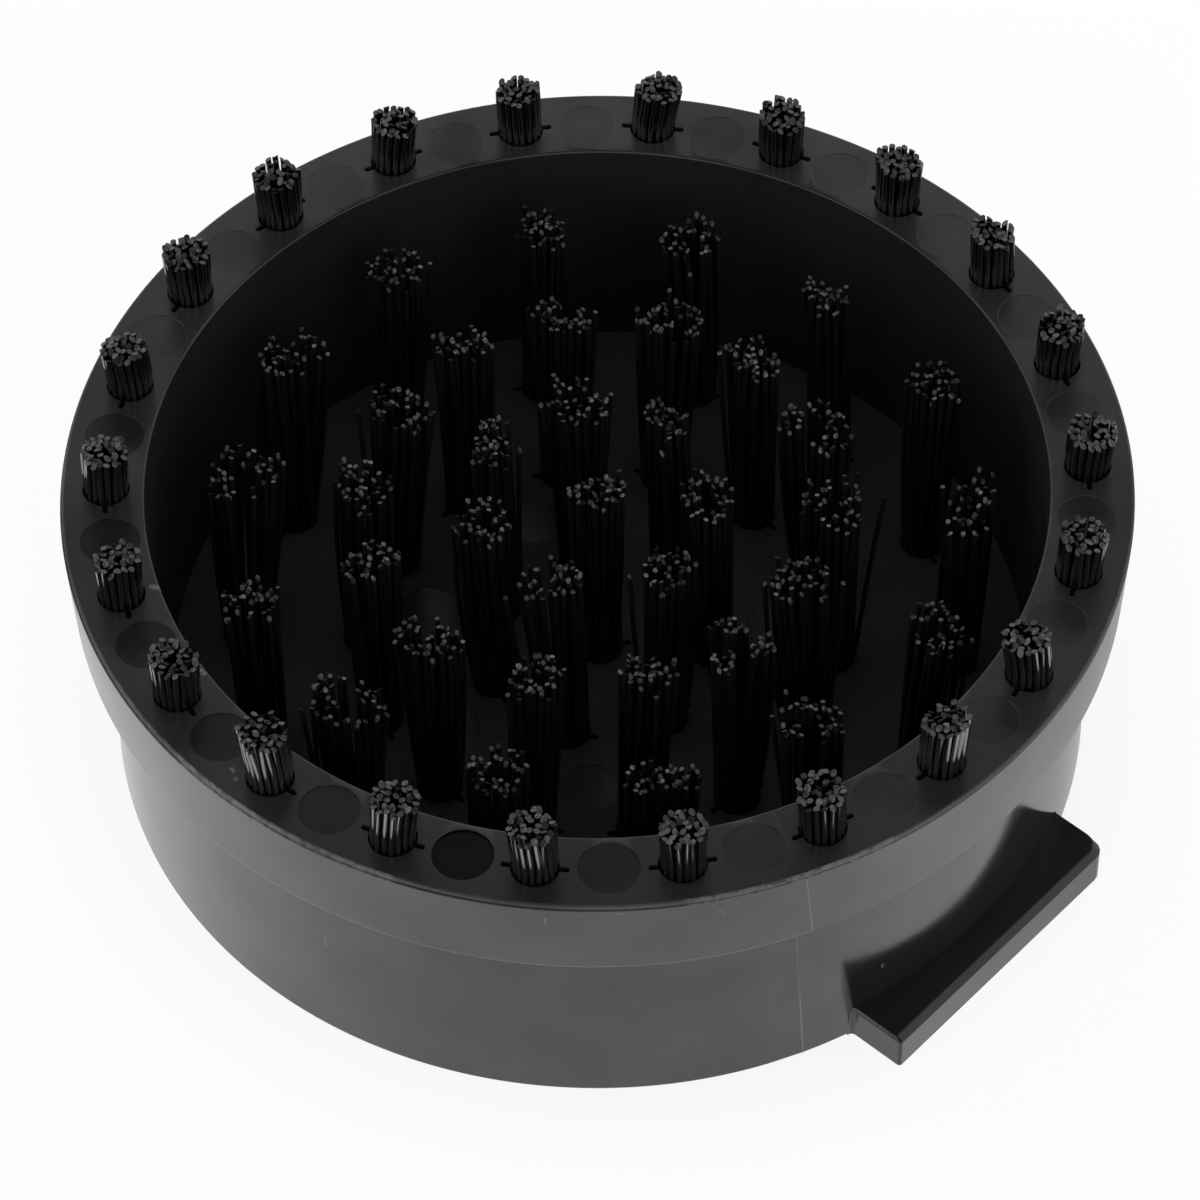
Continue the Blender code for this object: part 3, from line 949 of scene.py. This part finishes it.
def rim_habit(rng):
    """How a short rim tuft stands: its height, lean, splay, ragged cut and strays."""
    return {
        "feet": short_feet,
        "thickness": 0.42,
        "height": 3.75,
        "highest": RIM_TUFT_TOP,
        "lean": Vector((rng.gauss(0, 0.2), rng.gauss(0, 0.2))),
        "splay": (rng.uniform(1.03, 1.12), rng.uniform(1.03, 1.12)),
        "hollow": 0.0,
        "scatter": 0.06,
        "stray": 0.0,
        "slant": (rng.gauss(0, 0.07), rng.gauss(0, 0.07)),
        "ragged": 0.2,
        "wander": 0.03,
        "opens": 1.3,
        "levels": 4,
        "flare": 1.06,
        "clumps": [Vector((0.0, 0.0))] * 3,
    }


def floor_habit(rng):
    """How a long tuft inside the cup stands."""
    return {
        "feet": long_feet,
        "thickness": 0.34,
        "height": 16.2,
        "highest": 17.2,
        "lean": Vector((rng.gauss(0, 0.3), rng.gauss(0, 0.3))),
        "splay": (rng.uniform(0.95, 1.4), rng.uniform(0.9, 1.25)),
        "hollow": rng.uniform(0.0, 0.25),
        "scatter": 0.17,
        "stray": 0.03,
        "slant": (rng.gauss(0, 0.10), rng.gauss(0, 0.10)),
        "ragged": 0.55,
        "wander": 0.10,
        "opens": 0.8,
        "levels": 7,
        "flare": 0.96,
        "clumps": [Vector((rng.gauss(0, 0.35), rng.gauss(0, 0.35))) for _ in range(3)],
    }


# %% One strand's free length
def free_length(rng, habit, foot):
    """Points from the surface up to the cut end, for a strand that leaves the hole at foot."""
    outward = foot.normalized()
    tip = Vector((foot.x * habit["splay"][0], foot.y * habit["splay"][1])) + habit["lean"]
    tip += outward * habit["hollow"]
    around = (math.atan2(foot.y, foot.x) / math.tau) % 1.0
    tip += habit["clumps"][int(3 * around) % 3]
    tip += Vector((rng.gauss(0, habit["scatter"]), rng.gauss(0, habit["scatter"])))
    if rng.random() < habit["stray"]:
        astray = rng.uniform(-0.6, 0.6)
        heading = Vector((outward.x - astray * outward.y, outward.y + astray * outward.x))
        tip += heading * rng.uniform(0.5, 1.3)
    slanted = habit["height"] + habit["slant"][0] * tip.x + habit["slant"][1] * tip.y
    top = min(habit["highest"], slanted + rng.uniform(-1.2, 0.8) * habit["ragged"])
    sway = Vector((rng.gauss(0, habit["wander"]), rng.gauss(0, habit["wander"])))
    path = []
    for i in range(habit["levels"] + 1):
        share = i / habit["levels"]
        here = foot.lerp(tip, share ** habit["opens"]) + sway * math.sin(math.pi * share)
        path.append(Vector((here.x, here.y, top * share)))
    path[-2] = path[-1].lerp(path[-2], 0.06 / (path[-1] - path[-2]).length)
    return path


# %% Make one tuft
ANCHOR_LOW = -2.8
ANCHOR_HIGH = -1.0
ANCHOR_HALF_LENGTH = 2.05
ANCHOR_HALF_THICKNESS = 0.175
FOLD_DROP = 0.46
FOLD_STEP = 0.09
PINCH = 0.9
FOOT_WOBBLE = 0.03
CUT_SLANT = 0.45


def anchor_corners():
    """The eight corners of the flat wire: four at one end, then four at the other."""
    y, low, high = ANCHOR_HALF_THICKNESS, ANCHOR_LOW, ANCHOR_HIGH
    section = ((-y, low), (y, low), (y, high), (-y, high))
    ends = (-ANCHOR_HALF_LENGTH, ANCHOR_HALF_LENGTH)
    return [Vector((x, across, level)) for x in ends for across, level in section]


def make_tuft(node, seat, habit, rng):
    points = []
    faces = []
    picks = []
    for across, away, row in habit["feet"]:
        wobble = Vector((rng.gauss(0, FOOT_WOBBLE), rng.gauss(0, FOOT_WOBBLE)))
        one_end = free_length(rng, habit, Vector((across, away)) + wobble)
        other_end = free_length(rng, habit, Vector((across, -away)) + wobble)
        beside = max(away, ANCHOR_HALF_THICKNESS + habit["thickness"] / 2)
        pinched = [
            Vector((across * PINCH, beside, ANCHOR_HIGH - 0.3)),
            Vector((across * PINCH, beside, ANCHOR_LOW)),
            Vector((across * PINCH, 0.0, ANCHOR_LOW - FOLD_DROP + FOLD_STEP * row)),
        ]
        other_side = [Vector((p.x, -p.y, p.z)) for p in reversed(pinched[:-1])]
        path = one_end[::-1] + pinched + other_side + other_end
        cuts = [(rng.gauss(0, CUT_SLANT), rng.gauss(0, CUT_SLANT)) for _ in range(2)]
        sweep(points, faces, picks, path, cuts, habit)
    first = len(points)
    points += anchor_corners()
    box = ((3, 2, 1, 0), (4, 5, 6, 7), (0, 1, 5, 4), (1, 2, 6, 5), (2, 3, 7, 6), (3, 0, 4, 7))
    faces += [[first + i for i in face] for face in box]
    picks += [2] * len(box)
    mesh = bpy.data.meshes.new(node + "_strands")
    mesh.from_pydata([seat @ p * MM for p in points], [], faces)
    strands = (short_finish, trimmed_finish) if node.startswith("rim") else (long_finish, end_finish)
    for material in (*strands, wire_finish):
        mesh.materials.append(material)
    mesh.polygons.foreach_set("material_index", picks)
    mesh.shade_smooth()
    mesh.set_sharp_from_angle(angle=math.radians(60))
    tuft = bpy.data.objects.new(node + "_strands", mesh)
    bpy.context.scene.collection.objects.link(tuft)
    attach(tuft, "root")
    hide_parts(node)
    return tuft


# %% Make all the tufts
SEED = 58
tufts = []
for index, (node, seat) in enumerate(seats.items()):
    rng = random.Random(SEED * 1000 + index)
    habit = rim_habit(rng) if node.startswith("rim") else floor_habit(rng)
    tufts.append(make_tuft(node, seat, habit, rng))
print(len(tufts), "tufts,", sum(len(t.data.polygons) for t in tufts), "faces")

# %% [markdown]
# ## Bring the scene up to date
# The last step updates the view layer, so that every piece stands where it was placed.

# %% Update the view layer
bpy.context.view_layer.update()
